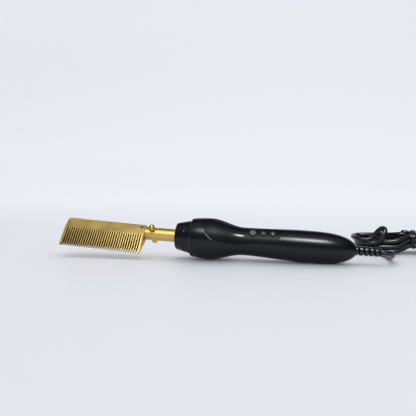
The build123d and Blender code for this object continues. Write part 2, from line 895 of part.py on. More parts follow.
def cord_tube(points):
    """A cord along straight runs joined by arcs, each as large as its two runs allow."""
    runs = [Vector(*b) - Vector(*a) for a, b in zip(points, points[1:])]
    radii = []
    for before, after in zip(runs, runs[1:]):
        half_turn = radians(before.get_angle(after)) / 2
        radii.append(0.45 * min(before.length, after.length) / tan(half_turn))
    path = FilletPolyline(*points, radius=radii)
    tube = sweep(Plane(origin=path @ 0, z_dir=path % 0) * Circle(cord_radius), path=path)
    section = pi * cord_radius ** 2
    print("cord", round(path.length, 1), "mm long, radii", [round(r, 1) for r in radii],
          "volume", round(tube.volume), "of", round(section * path.length))
    return tube


floor_z = cord_radius + floor_gap
lead_points = [
    cord_exit,
    cord_exit + cord_heading * 4.6,
    (168.2, 1.5, 10.9),
    (172.6, 5.0, 9.7),
    (175.2, 10.6, 7.9),
    (176.2, 18.6, 5.8),
    (176.4, 31.0, 3.4),
    (176.2, 44.0, floor_z),
    (175.6, 58.0, floor_z),
    (175.4, 71.5, floor_z),
]
plug_z = plug_body_thickness / 2 + floor_gap
tail_points = [
    (262.0, 86.0, floor_z + 0.2),
    (261.6, 75.5, floor_z + 0.2),
    (259.6, 65.0, 4.2),
    (256.8, 54.5, 6.6),
    (plug_x, plug_entry_y + 8.0, plug_z),
    (plug_x, plug_entry_y, plug_z),
]

# ================= hank, tie and plug =================

def share_from_tie(x):
    """0 at the tie and 1 at the widest place of either loop."""
    if x < hank_pinch_station:
        reach = hank_pinch_station - hank_left - hank_loop_width / 2
    else:
        reach = hank_right - hank_loop_width / 2 - hank_pinch_station
    return min(1.0, abs(x - hank_pinch_station) / reach)


def make_cord_hank():
    """The outer shape of the folded cord: two wide loops, pinched and lifted at the tie."""
    reach = hank_loop_width / 2
    stations = spaced(hank_left + reach, hank_right - reach, 8)
    side = [(x, blend(hank_pinch_width, hank_loop_width, share_from_tie(x)) / 2) for x in stations]
    right = [(stations[-1] + reach * sin(pi * k / 6), reach * cos(pi * k / 6)) for k in range(1, 6)]
    left = [(hank_left + hank_right - x, -y) for x, y in right]
    ring = side + right + [(x, -y) for x, y in reversed(side)] + left
    plan = make_face(Spline(*[(x, hank_middle_y + y) for x, y in ring], periodic=True))
    low = [(x, floor_gap + blend(hank_lift, 0, share_from_tie(x))) for x in stations]
    high = [(x, z + hank_height) for x, z in low]
    left_end, right_end = hank_left - reach, hank_right + reach
    corners = [(right_end, low[-1][1]), (right_end, high[-1][1]), (left_end, high[0][1]), (left_end, low[0][1])]
    arch = make_face([
        Spline(*low, tangents=[(1, 0), (1, 0)]),
        Polyline(low[-1], corners[0], corners[1], high[-1]),
        Spline(*high, tangents=[(1, 0), (1, 0)]),
        Polyline(high[0], corners[2], corners[3], low[0]),
    ])
    hank = extrude(plan, amount=2 * hank_height)
    hank = hank & Pos(0, hank_middle_y, 0) * extrude(Plane.XZ * arch, amount=hank_loop_width, both=True)
    upper_and_lower = [face for face in hank.faces() if abs(face.normal_at().Z) > 0.8]
    hank = fillet(ShapeList(edge for face in upper_and_lower for edge in face.edges()), hank_rounding)
    return hank - tie_ring(-big, tie_thickness + tie_gap, tie_width + 2 * tie_gap)


def tie_ring(outside, inside, width):
    """A band round the hank's middle, between two depths under the hank's surface."""
    middle = Plane(
        origin=(hank_pinch_station - width / 2, hank_middle_y, floor_gap + hank_lift + hank_height / 2),
        x_dir=(0, 1, 0), z_dir=(1, 0, 0))
    rounded = RectangleRounded(hank_pinch_width - 2 * inside, hank_height - 2 * inside,
                               hank_rounding - inside)
    if outside < 0:
        whole = Rectangle(3 * hank_pinch_width, 3 * hank_height)
    else:
        whole = RectangleRounded(hank_pinch_width - 2 * outside, hank_height - 2 * outside,
                                 hank_rounding - outside)
    return extrude(middle * (whole - rounded), amount=width)


def make_cord_tie():
    """A flat band round the hank, with its twisted ends standing up at the front."""
    band = tie_ring(0, tie_thickness, tie_width)
    foot = floor_gap + hank_lift + hank_height - tie_thickness / 2
    tail = Pos(hank_pinch_station, hank_middle_y - hank_pinch_width / 4, foot) * Rot(X=60) * Pos(
        0, 0, tie_tail_length / 2) * Box(tie_tail_width, tie_tail_width / 2, tie_tail_length)
    return band + tail


plug_front = plug_entry_y - plug_sleeve_length - plug_body_length


def make_plug_body():
    """A moulded plug: a tapered sleeve round the cord and a rounded grip."""
    rear = plug_entry_y - plug_sleeve_length
    grip = Pos(plug_x, rear - plug_body_length / 2, plug_z) * Box(
        plug_body_width, plug_body_length, plug_body_thickness)
    grip = fillet(grip.edges().filter_by(Axis.Y), plug_rounding)
    sleeve = Pos(plug_x, plug_entry_y - plug_sleeve_length / 2, plug_z) * Rot(X=-90) * Cone(
        plug_sleeve_root_radius, plug_sleeve_tip_radius, plug_sleeve_length)
    body = grip + sleeve
    for x in blade_stations:
        body -= blade_block(x, plug_front - 1, plug_front + blade_root + fit_clearance, fit_clearance)
    return body


blade_stations = (plug_x - blade_spacing / 2, plug_x + blade_spacing / 2)


def blade_block(x, y0, y1, grow):
    half, tall = blade_thickness / 2 + grow, blade_width / 2 + grow
    return block(x - half, x + half, y0, y1, plug_z - tall, plug_z + tall)


def make_plug_blades():
    blades = []
    for x in blade_stations:
        tip = plug_front - blade_length
        blade = blade_block(x, tip, plug_front + blade_root, 0)
        blade = chamfer(blade.faces().sort_by(Axis.Y)[0].edges(), 0.3)
        hole = Pos(x, tip + 3.5, plug_z) * Rot(Y=90) * Cylinder(blade_hole_radius, 4 * blade_thickness)
        blades.append(blade - hole)
    return Compound(children=blades)


laid["cord_lead"] = cord_tube(lead_points)
laid["cord_hank"] = make_cord_hank()
laid["cord_tie"] = make_cord_tie()
laid["cord_tail"] = cord_tube(tail_points)
laid["plug_body"] = make_plug_body()
laid["plug_blades"] = make_plug_blades()

shift = to_origin.position
print("placement shift", [round(v, 3) for v in shift], "tilt", round(lying_tilt, 4))
print("cord exit", [round(v, 2) for v in cord_exit], "heading", [round(v, 4) for v in cord_heading])
press = on_table(0, 1, 0) - on_table(0, 0, 0)
print("press direction", [round(v, 6) for v in press])
for name, station in (("power", power_station), ("minus", minus_station), ("plus", plus_station)):
    print(name, [round(v, 3) for v in on_table(station, panel_y(station, panel_sink), 0)])

os.makedirs("parts", exist_ok=True)
for name, piece in laid.items():
    export_step(piece, f"parts/{name}.step")
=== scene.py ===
"""Dresses the electric hot comb: finishes for its own pieces, the ribbed strain relief, the marks on its
buttons, the cord in its tied hank, and a plain studio. Laid out as an add-on, and run as a script."""

import math

import bmesh
import bpy
import numpy as np
from bpy.props import FloatProperty, FloatVectorProperty, PointerProperty
from mathutils import Matrix, Vector


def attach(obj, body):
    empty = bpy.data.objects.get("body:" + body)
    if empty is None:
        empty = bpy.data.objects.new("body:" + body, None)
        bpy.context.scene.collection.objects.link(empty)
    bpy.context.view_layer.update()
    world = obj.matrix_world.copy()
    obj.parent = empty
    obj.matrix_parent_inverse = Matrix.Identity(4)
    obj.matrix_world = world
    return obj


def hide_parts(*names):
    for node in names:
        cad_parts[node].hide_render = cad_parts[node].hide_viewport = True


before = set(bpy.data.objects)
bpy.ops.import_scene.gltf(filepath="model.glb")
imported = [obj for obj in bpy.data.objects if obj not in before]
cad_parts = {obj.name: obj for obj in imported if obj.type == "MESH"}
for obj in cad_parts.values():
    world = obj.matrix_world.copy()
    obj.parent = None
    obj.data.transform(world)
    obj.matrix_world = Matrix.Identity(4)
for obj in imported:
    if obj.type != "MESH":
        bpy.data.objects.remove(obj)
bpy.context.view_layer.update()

bl_info = {
    "name": "Electric hot comb",
    "version": (1, 0, 0),
    "blender": (4, 5, 0),
    "location": "View3D > Sidebar > Hot comb",
    "description": "Finishes, cord and studio for an electric hot comb",
    "category": "Object",
}

MM = 0.001

# ------------------------------------------------------------------ where the comb lies

# The handle's frame has the handle's axis along x, its zero at the handle's widest place and the comb at
# negative x. Its z points from the teeth to the comb's spine. On the table that frame is rolled about
# its axis, tilted, and moved by millimetres.
LYING_ROLL = math.radians(47.5)
LYING_TILT = math.radians(3.0775)
LYING_SHIFT = np.array((-5.614, 0.0, 20.576))


def lay(points):
    """Handle-frame points in millimetres, turned and moved to where the comb lies, in metres."""
    p = np.asarray(points, float)
    x, y, z = p[..., 0], p[..., 1], p[..., 2]
    c, s = math.cos(LYING_ROLL), math.sin(LYING_ROLL)
    y, z = y * c + z * s, z * c - y * s
    c, s = math.cos(LYING_TILT), math.sin(LYING_TILT)
    x, z = x * c + z * s, z * c - x * s
    return (np.stack((x, y, z), axis=-1) + LYING_SHIFT) * MM


# ------------------------------------------------------------------ sizes and colours

def length(name, text, default):
    """A length property in metres, given in millimetres."""
    return FloatProperty(name=name, description=text, default=default * MM, unit="LENGTH", min=0.0)


def colour(name, text, default):
    """A colour property, in linear light."""
    return FloatVectorProperty(name=name, description=text, default=default, size=3, min=0.0, max=1.0,
                               subtype="COLOR")


class HOTCOMB_PG_cord(bpy.types.PropertyGroup):
    diameter: length("Cord diameter", "Diameter of the cord's jacket", 5.3)
    total: length("Cord length", "Length of the cord from the strain relief to the plug", 1800.0)


class HOTCOMB_PG_colours(bpy.types.PropertyGroup):
    comb: colour("Comb", "Brushed gold of the comb plate", (0.50, 0.352, 0.122))
    neck: colour("Neck", "Satin gold of the neck tube", (0.66, 0.46, 0.15))
    ball: colour("Rest balls", "Polished gold of the rest balls", (0.78, 0.50, 0.10))
    handle: colour("Handle", "Black of the handle's moulding", (0.0030, 0.0038, 0.0075))
    panel: colour("Panel", "Black of the control panel", (0.0026, 0.0032, 0.0060))
    cord: colour("Cord", "Black of the cord's jacket", (0.0036, 0.0044, 0.0080))
    floor: colour("Floor", "Pale floor and backdrop", (0.815, 0.825, 0.85))


def sizes():
    return bpy.context.scene.hotcomb_cord


def colours():
    return bpy.context.scene.hotcomb_colours


# ------------------------------------------------------------------ meshes

SAME_POINT = 1e-7
WELD_DISTANCE = 1e-6
SHARP_EDGE = math.radians(28)


def link(obj):
    """Puts an object into the scene."""
    bpy.context.scene.collection.objects.link(obj)
    return obj


def grid_faces(rows, columns, wrap_rows=False, wrap_columns=False):
    """Quads between neighbours of a rows by columns grid, closed on itself where asked."""
    r = np.arange(rows if wrap_rows else rows - 1)
    c = np.arange(columns if wrap_columns else columns - 1)
    a, b = np.meshgrid(r, c, indexing="ij")
    a2, b2 = (a + 1) % rows, (b + 1) % columns
    quads = np.stack((a * columns + b, a * columns + b2, a2 * columns + b2, a2 * columns + b), axis=-1)
    return quads.reshape(-1, 4)


def mesh_piece(name, points, faces, body="handle"):
    """A new piece from points in metres and a list of faces, with its normals turned outwards."""
    mesh = bpy.data.meshes.new(name)
    mesh.from_pydata(np.asarray(points).reshape(-1, 3).tolist(), [], [list(map(int, f)) for f in faces])
    shape = bmesh.new()
    shape.from_mesh(mesh)
    bmesh.ops.remove_doubles(shape, verts=shape.verts, dist=SAME_POINT)
    bmesh.ops.recalc_face_normals(shape, faces=shape.faces)
    shape.to_mesh(mesh)
    shape.free()
    mesh.shade_smooth()
    piece = link(bpy.data.objects.new(name, mesh))
    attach(piece, body)
    return piece


def smooth_joins():
    """Geometry nodes that weld a node's loose triangles and shade all but its sharp edges smooth."""
    name = "smooth joins"
    if name in bpy.data.node_groups:
        return bpy.data.node_groups[name]
    group = bpy.data.node_groups.new(name, "GeometryNodeTree")
    group.interface.new_socket("Geometry", in_out="INPUT", socket_type="NodeSocketGeometry")
    group.interface.new_socket("Geometry", in_out="OUTPUT", socket_type="NodeSocketGeometry")
    nodes, links = group.nodes, group.links
    start, end = nodes.new("NodeGroupInput"), nodes.new("NodeGroupOutput")
    weld = nodes.new("GeometryNodeMergeByDistance")
    weld.inputs["Distance"].default_value = WELD_DISTANCE
    angle = nodes.new("GeometryNodeInputMeshEdgeAngle")
    blunt = nodes.new("FunctionNodeCompare")
    blunt.operation = "LESS_EQUAL"
    blunt.inputs["B"].default_value = SHARP_EDGE
    faces = nodes.new("GeometryNodeSetShadeSmooth")
    edges = nodes.new("GeometryNodeSetShadeSmooth")
    edges.domain = "EDGE"
    links.new(start.outputs[0], weld.inputs["Geometry"])
    links.new(weld.outputs["Geometry"], faces.inputs["Geometry"])
    links.new(faces.outputs["Geometry"], edges.inputs["Geometry"])
    links.new(angle.outputs["Unsigned Angle"], blunt.inputs["A"])
    links.new(blunt.outputs["Result"], edges.inputs["Shade Smooth"])
    links.new(edges.outputs["Geometry"], end.inputs[0])
    return group


def dress(node, material):
    """A solid's node keeps its shape and gets a finish and smooth shading."""
    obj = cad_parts[node]
    obj.data.materials.clear()
    obj.data.materials.append(material)
    if "smooth joins" not in obj.modifiers:
        obj.modifiers.new("smooth joins", "NODES").node_group = smooth_joins()
    return obj


# ------------------------------------------------------------------ wiring of material nodes

class Wiring:
    """Adds nodes to a material, a group or the world and joins them."""

    def __init__(self, tree):
        self.tree = tree

    def new(self, kind):
        return self.tree.nodes.new(kind)

    def set(self, socket, value):
        if isinstance(value, bpy.types.NodeSocket):
            self.tree.links.new(value, socket)
        else:
            socket.default_value = value

    def coordinates(self):
        """The outputs of a Texture Coordinate node, by name."""
        return self.new("ShaderNodeTexCoord").outputs

    def rays(self):
        """The outputs of a Light Path node, by name."""
        return self.new("ShaderNodeLightPath").outputs

    def parts(self, vector):
        """The X, Y and Z of a vector."""
        node = self.new("ShaderNodeSeparateXYZ")
        self.set(node.inputs[0], vector)
        return tuple(node.outputs)

    def combine(self, *values):
        """A vector from its X, Y and Z."""
        node = self.new("ShaderNodeCombineXYZ")
        for socket, value in zip(node.inputs, values):
            self.set(socket, value)
        return node.outputs[0]

    def calc(self, kind, *values):
        """One step of arithmetic on numbers."""
        node = self.new("ShaderNodeMath")
        node.operation = kind
        for socket, value in zip(node.inputs, values):
            self.set(socket, value)
        return node.outputs[0]

    def times(self, first, *others):
        """The product of two or more numbers."""
        for other in others:
            first = self.calc("MULTIPLY", first, other)
        return first

    def vector(self, kind, *values, out=0):
        """One step of arithmetic on vectors; SCALE takes its factor last."""
        node = self.new("ShaderNodeVectorMath")
        node.operation = kind
        sockets = [node.inputs[0], node.inputs["Scale"]] if kind == "SCALE" else node.inputs
        for socket, value in zip(sockets, values):
            self.set(socket, value)
        return node.outputs[out]

    def noise(self, position, scale, detail=2.0, roughness=0.5):
        """Soft noise about 0.5, with scale features a metre."""
        node = self.new("ShaderNodeTexNoise")
        for label, value in (("Vector", position), ("Scale", scale), ("Detail", detail),
                             ("Roughness", roughness)):
            self.set(node.inputs[label], value)
        return node.outputs["Fac"]

    def spread(self, value, low, high, to_low=0.0, to_high=1.0, kind="SMOOTHSTEP"):
        """Maps a value from one range to another, smoothly and within its ends."""
        node = self.new("ShaderNodeMapRange")
        node.interpolation_type = kind
        for socket, number in zip(node.inputs, (value, low, high, to_low, to_high)):
            self.set(socket, number)
        return node.outputs["Result"]

    def mix(self, factor, first, second):
        """Mixes two numbers."""
        return self.calc("ADD", self.times(first, self.calc("SUBTRACT", 1.0, factor)),
                         self.times(second, factor))

    def blend(self, factor, first, second):
        """Mixes two colours: on a Mix node set to colours, sockets 6 and 7 hold them and 2 gives them."""
        node = self.new("ShaderNodeMix")
        node.data_type = "RGBA"
        self.set(node.inputs[0], factor)
        self.set(node.inputs[6], first)
        self.set(node.inputs[7], second)
        return node.outputs[2]

    def bump(self, height, strength, distance):
        """A normal tipped by a height, with the distance in metres."""
        node = self.new("ShaderNodeBump")
        for label, value in (("Height", height), ("Strength", strength), ("Distance", distance)):
            self.set(node.inputs[label], value)
        return node.outputs["Normal"]


def speckle_group():
    """A fine grain and a broad unevenness: a colour, a roughness and a height that vary a little."""
    name = "speckle"
    if name in bpy.data.node_groups:
        return bpy.data.node_groups[name]
    group = bpy.data.node_groups.new(name, "ShaderNodeTree")
    face = group.interface
    face.new_socket("Position", in_out="INPUT", socket_type="NodeSocketVector")
    face.new_socket("Colour", in_out="INPUT", socket_type="NodeSocketColor")
    for label, value in (("Roughness", 0.5), ("Scale", 900.0), ("Variation", 0.1)):
        face.new_socket(label, in_out="INPUT", socket_type="NodeSocketFloat").default_value = value
    face.new_socket("Colour", in_out="OUTPUT", socket_type="NodeSocketColor")
    face.new_socket("Roughness", in_out="OUTPUT", socket_type="NodeSocketFloat")
    face.new_socket("Height", in_out="OUTPUT", socket_type="NodeSocketFloat")
    wire = Wiring(group)
    start, end = wire.new("NodeGroupInput").outputs, wire.new("NodeGroupOutput").inputs
    fine = wire.noise(start["Position"], start["Scale"])
    broad = wire.noise(start["Position"], 60.0, 3.0)
    mixed = wire.calc("SUBTRACT", wire.calc("ADD", fine, broad), 1.0)
    factor = wire.calc("ADD", wire.times(mixed, start["Variation"]), 1.0)
    wire.set(end["Colour"], wire.vector("SCALE", start["Colour"], factor))
    wire.set(end["Roughness"], wire.times(start["Roughness"], factor))
    wire.set(end["Height"], fine)
    return group


def comb_axes_group():
    """Turns a direction from the table's axes into the handle's frame: along it, through the comb's
    thickness, and up from its teeth to its spine."""
    name = "comb axes"
    if name in bpy.data.node_groups:
        return bpy.data.node_groups[name]
    group = bpy.data.node_groups.new(name, "ShaderNodeTree")
    group.interface.new_socket("Vector", in_out="INPUT", socket_type="NodeSocketVector")
    for label in ("Along", "Through", "Up"):
        group.interface.new_socket(label, in_out="OUTPUT", socket_type="NodeSocketFloat")
    wire = Wiring(group)
    start, end = wire.new("NodeGroupInput").outputs, wire.new("NodeGroupOutput").inputs
    axes = lay(np.eye(3) / MM) - lay(np.zeros((1, 3)))
    for row, label in zip(axes, ("Along", "Through", "Up")):
        wire.set(end[label], wire.vector("DOT_PRODUCT", start[0], tuple(map(float, row)), out="Value"))
    return group


def comb_axes(wire, vector):
    """A direction's parts along the handle's frame."""
    node = wire.new("ShaderNodeGroup")
    node.node_tree = comb_axes_group()
    wire.set(node.inputs[0], vector)
    return tuple(node.outputs)


def comb_place(wire, place):
    """A place's parts in the handle's frame, in metres from its zero."""
    return comb_axes(wire, wire.vector("SUBTRACT", place, tuple(map(float, LYING_SHIFT * MM))))


def new_material(name):
    """A new material, the wiring of its nodes, and its shader's sockets."""
    material = bpy.data.materials.new(name)
    material.use_nodes = True
    tree = material.node_tree
    return material, Wiring(tree), tree.nodes["Principled BSDF"].inputs


# ------------------------------------------------------------------ finishes

# The comb plate in metres: the stretch that holds its gaps along the handle's frame, and the soft edge of
# that;
# the stretch over which painted shade darkens it towards its free end; its top edge, which falls 1.6 degrees
# towards the handle; and ranges below that edge.
GAPS_FROM, GAPS_TO, GAPS_SOFT = -0.1506, -0.0674, 0.0006
SHADE_TOWARDS_END = (-0.15, -0.075)
TOP_EDGE, TOP_FALL = 0.0057, 0.02793
# a painted pale, bluish reflection along the top edge lies in this range below it
EDGE_REFLECTION = (0.0034, 0.0022)
DARKER_BAND = (0.0035, 0.0085)
TEETH = (0.0130, 0.0150)
# painted shade in the slots between the teeth weakens over this range below the top edge, towards the tips
SLOT_SHADE_FADE = (0.0335, 0.0265)
WORN_TIPS = (0.0300, 0.0338)
# colour of the painted shade in the slots between the teeth
SLOT_SHADE_COLOUR = (0.006, 0.004, 0.002, 1)

# Where the painted highlights go: the handle's rim along its frame, and the front of the panel's joint: an
# arc's middle and radius.
RIM_AT = -0.0168
JOINT_AT, JOINT_RADIUS = 0.0098, 0.0141
# colours of the painted highlights: a pale line on the rim and a brighter glint on the joint's arc
RIM_HIGHLIGHT_COLOUR = (0.10, 0.103, 0.11, 1)
GLINT_COLOUR = (0.34, 0.345, 0.36, 1)


def tinted(base, red, green, blue):
    return (base[0] * red, base[1] * green, base[2] * blue, 1)


def plain(name, base, roughness, metallic=0.0, grain=900.0, bump=0.02, level=0.5, uneven=0.12, painted_highlights=None):
    """A moulded or polished finish: a fine grain and a broad unevenness move its colour, gloss and
    surface a little. Painted highlights, where given, are added to its colour."""
    material, wire, shader = new_material(name)
    place = wire.coordinates()["Object"]
    speck = wire.new("ShaderNodeGroup")
    speck.node_tree = speckle_group()
    for label, value in (("Position", place), ("Colour", (*base, 1)), ("Roughness", roughness),
                         ("Scale", grain), ("Variation", uneven)):
        wire.set(speck.inputs[label], value)
    tone = speck.outputs["Colour"]
    wire.set(shader["Base Color"], painted_highlights(wire, place, tone) if painted_highlights else tone)
    wire.set(shader["Roughness"], speck.outputs["Roughness"])
    wire.set(shader["Metallic"], metallic)
    wire.set(shader["Specular IOR Level"], level)
    wire.set(shader["Normal"], wire.bump(speck.outputs["Height"], bump, 0.0004))
    return material


def handle_painted_highlights(wire, place, tone):
    """A painted highlight as a pale, uneven line round the rim at the handle's front end, and a brighter
    painted glint on the lower front of the panel's joint, which follows the joint's arc."""
    along, through, up = comb_place(wire, place)
    from_rim = wire.calc("ABSOLUTE", wire.calc("SUBTRACT", along, RIM_AT))
    rim_highlight = wire.times(wire.spread(from_rim, 0.0005, 0.0002, 0.0, 0.6),
                        wire.spread(wire.noise(place, 260.0), 0.35, 0.6, 0.5, 1.0))
    from_middle = wire.calc("SUBTRACT", along, JOINT_AT)
    squares = wire.calc("ADD", wire.calc("POWER", from_middle, 2.0), wire.calc("POWER", up, 2.0))
    off_arc = wire.calc("ABSOLUTE", wire.calc("SUBTRACT", wire.calc("SQRT", squares), JOINT_RADIUS))
    glint = wire.times(wire.spread(off_arc, 0.0006, 0.0002), wire.spread(from_middle, -0.0025, -0.0065),
                       wire.spread(up, -0.0070, -0.0100), wire.spread(through, -0.002, -0.006))
    return wire.blend(glint, wire.blend(rim_highlight, tone, RIM_HIGHLIGHT_COLOUR), GLINT_COLOUR)


def brushed_comb(name, base):
    """Brushed gold: fine drawn lines along the comb on its flat faces, a painted bluish reflection along its
    top edge with a darker band under it, painted shade that darkens its free end, darker teeth, and painted
    shade that blackens the slots between the teeth and weakens towards the tips."""
    material, wire, shader = new_material(name)
    at = wire.coordinates()
    along, through, up = comb_place(wire, at["Object"])
    lines = wire.noise(wire.combine(wire.times(along, 0.04), through, up), 5200.0, 3.0, 0.6)
    cloud = wire.noise(at["Object"], 70.0, 4.0)
    below = wire.calc("SUBTRACT", wire.calc("SUBTRACT", TOP_EDGE, wire.times(along, TOP_FALL)), up)
    sideways = wire.calc("ABSOLUTE", comb_axes(wire, at["Normal"])[0])
    # painted shade: the slot walls between the teeth go near black, lose their metal and turn rough
    slot_shade = wire.times(wire.spread(sideways, 0.5, 0.9),
                      wire.times(wire.spread(along, GAPS_FROM - GAPS_SOFT, GAPS_FROM + GAPS_SOFT),
                                 wire.spread(along, GAPS_TO + GAPS_SOFT, GAPS_TO - GAPS_SOFT)),
                      wire.spread(below, *SLOT_SHADE_FADE, 0.35, 1.0))
    tone = wire.times(wire.calc("ADD", wire.spread(lines, 0.3, 0.7, 0.88, 1.1, "LINEAR"),
                                wire.spread(cloud, 0.3, 0.7, -0.1, 0.1, "LINEAR")),
                      # painted shade: darker towards the comb's free end, lighter towards the handle
                      wire.spread(along, *SHADE_TOWARDS_END, 0.80, 1.2, "LINEAR"),
                      wire.spread(below, *DARKER_BAND, 0.82, 1.0),
                      wire.spread(below, *TEETH, 1.0, 0.82))
    gold = wire.vector("SCALE", tuple(base), tone)
    # painted reflection: a pale, bluish band along the comb's top edge
    gold = wire.blend(wire.spread(below, *EDGE_REFLECTION, 0.0, 0.9), gold, tinted(base, 1.25, 1.32, 1.9))
    gold = wire.blend(wire.spread(below, *WORN_TIPS, 0.0, 0.35), gold, tinted(base, 0.8, 0.66, 0.5))
    rough = wire.spread(cloud, 0.3, 0.7, 0.38, 0.48, "LINEAR")
    wire.set(shader["Base Color"], wire.blend(slot_shade, gold, SLOT_SHADE_COLOUR))
    wire.set(shader["Metallic"], wire.calc("SUBTRACT", 1.0, slot_shade))
    wire.set(shader["Roughness"], wire.calc("ADD", rough, wire.times(slot_shade, 0.4)))
    wire.set(shader["Specular IOR Level"], 0.0)
    wire.set(shader["Normal"], wire.bump(lines, 0.14, 0.0002))
    return material


def brushed_tube(name, base):
    """Satin gold tube: fine rings drawn round it, a duller patch here and there, and painted shade that
    darkens its top and lightens its sides and underside.
    """
    material, wire, shader = new_material(name)
    at = wire.coordinates()
    along, through, up = comb_place(wire, at["Object"])
    rings = wire.noise(wire.combine(along, wire.times(through, 0.12), wire.times(up, 0.12)),
                       2600.0, 3.0, 0.6)
    cloud = wire.noise(at["Object"], 90.0, 4.0)
    tone = wire.times(wire.calc("ADD", wire.spread(rings, 0.3, 0.7, 0.93, 1.07, "LINEAR"),
                                wire.spread(cloud, 0.3, 0.7, -0.07, 0.07, "LINEAR")),
                      # painted shade: darker where the tube faces up, lighter where it faces sideways or down
                      wire.spread(wire.parts(at["Normal"])[2], 0.15, 0.65, 1.12, 0.76))
    wire.set(shader["Base Color"], wire.vector("SCALE", tuple(base), tone))
    wire.set(shader["Metallic"], 1.0)
    wire.set(shader["Roughness"], wire.spread(cloud, 0.3, 0.7, 0.44, 0.52, "LINEAR"))
    wire.set(shader["Normal"], wire.bump(rings, 0.1, 0.0002))
    return material


def sleeve_weave(name, base):
    """Woven glass sleeving: two sets of fine threads that cross at a slant."""
    material, wire, shader = new_material(name)
    x, y, z = wire.parts(wire.coordinates()["Object"])
    threads = 5200.0
    slant = wire.calc("ADD", y, z)
    first = wire.calc("SINE", wire.times(wire.calc("ADD", x, slant), threads))
    second = wire.calc("SINE", wire.times(wire.calc("SUBTRACT", x, slant), threads))
    weave = wire.spread(wire.times(first, second), -1.0, 1.0, 0.0, 1.0, "LINEAR")
    wire.set(shader["Base Color"], wire.blend(weave, tinted(base, 0.6, 0.6, 0.6), (*base, 1)))
    wire.set(shader["Roughness"], wire.spread(weave, 0.0, 1.0, 0.85, 0.6))
    wire.set(shader["Normal"], wire.bump(weave, 0.3, 0.0003))
    return material


# Each finish's colour, or the name of its colour among the properties, and what its maker takes.
FINISHES = {
    "gold comb": dict(base="comb", maker=brushed_comb),
    "gold neck": dict(base="neck", maker=brushed_tube),
    "gold ball": dict(base="ball", roughness=0.13, metallic=1.0, grain=1500.0, bump=0.01, uneven=0.1),
    "dark screw": dict(base=(0.10, 0.095, 0.09), roughness=0.34, metallic=1.0, grain=1500.0, bump=0.06),
    "screw steel": dict(base=(0.34, 0.34, 0.35), roughness=0.35, metallic=1.0, grain=1500.0, bump=0.04),
    # the handle and the panel carry painted highlights on the rim and on the panel's joint
    "black handle": dict(base="handle", roughness=0.25, grain=1500.0, bump=0.1, level=0.36, uneven=0.2,
                         painted_highlights=handle_painted_highlights),
    "black panel": dict(base="panel", roughness=0.46, grain=1500.0, bump=0.1, level=0.18, uneven=0.2,
                        painted_highlights=handle_painted_highlights),
    "smoked window": dict(base=(0.003, 0.003, 0.005), roughness=0.2, grain=400.0, level=0.4),
    "button": dict(base=(0.016, 0.017, 0.02), roughness=0.45, grain=2200.0, bump=0.12, level=0.35),
    "printed mark": dict(base=(0.62, 0.63, 0.65), roughness=0.5, grain=1800.0),
    "cord jacket": dict(base="cord", roughness=0.31, bump=0.07, level=0.62, uneven=0.2),
    "tie strap": dict(base=(0.004, 0.0045, 0.0065), roughness=0.3, grain=1200.0, bump=0.12, level=0.45),
    "soft relief": dict(base="cord", roughness=0.25, bump=0.05, level=0.62, uneven=0.2),
    # painted shade for the relief's grooves: darker and less glossy than the ribs
    "relief groove": dict(base=(0.0015, 0.0015, 0.002), roughness=0.8, bump=0.05, level=0.15),
    "plug rubber": dict(base=(0.008, 0.0085, 0.011), roughness=0.42, grain=1500.0, bump=0.14, level=0.4),
    "plated blade": dict(base=(0.62, 0.58, 0.47), roughness=0.22, metallic=1.0, grain=1500.0, bump=0.03),
    "heater sheath": dict(base=(0.42, 0.40, 0.37), roughness=0.38, metallic=1.0, bump=0.06, uneven=0.3),
    "board green": dict(base=(0.012, 0.10, 0.04), roughness=0.38, grain=1300.0, bump=0.06, uneven=0.3),
    "black part": dict(base=(0.012, 0.012, 0.013), roughness=0.5, grain=2000.0, bump=0.1),
    "yellow part": dict(base=(0.72, 0.46, 0.05), roughness=0.42, grain=700.0, bump=0.05),
    "display grey": dict(base=(0.10, 0.11, 0.10), roughness=0.3, bump=0.03),
    "sleeving": dict(base=(0.60, 0.57, 0.48), maker=sleeve_weave),
    "fired bush": dict(base=(0.46, 0.40, 0.32), roughness=0.7, grain=1100.0, bump=0.18, uneven=0.2),
    "red wire": dict(base=(0.42, 0.03, 0.022), roughness=0.45, bump=0.05),
    "white wire": dict(base=(0.62, 0.61, 0.58), roughness=0.5, bump=0.05),
}

NODE_FINISHES = {
    "comb_plate": "gold comb", "neck_tube": "gold neck", "rest_ball_upper": "gold ball",
    "rest_ball_lower": "gold ball", "comb_screw": "dark screw", "collar": "black handle",
    "handle_shell_front": "black handle", "handle_shell_back": "black handle",
    "handle_screws": "screw steel", "clamp_screws": "screw steel", "neck_pin": "screw steel",
    "control_panel": "black panel", "display_window": "smoked window",
    "power_button": "button", "minus_button": "button", "plus_button": "button",
    "cord_inner": "cord jacket", "plug_body": "plug rubber", "plug_blades": "plated blade",
    "circuit_board": "board green", "heater_cartridge": "heater sheath",
    "temperature_sensor": "fired bush", "neck_sleeve": "sleeving", "thermal_fuse": "white wire",
    "heater_leads": "red wire", "sensor_leads": "white wire", "mains_leads": "white wire",
    "insulator_bush": "fired bush", "display_module": "display grey",
    "button_switches": "black part", "triac": "black part", "dropper_capacitor": "yellow part",
    "cord_clamp": "black part",
}


def finish(name):
    """One of the object's finishes, made when it is first asked for."""
    if name in bpy.data.materials:
        return bpy.data.materials[name]
    values = dict(FINISHES[name])
    maker, base = values.pop("maker", plain), values.pop("base")
    return maker(name, getattr(colours(), base) if isinstance(base, str) else base, **values)


# ------------------------------------------------------------------ the cord

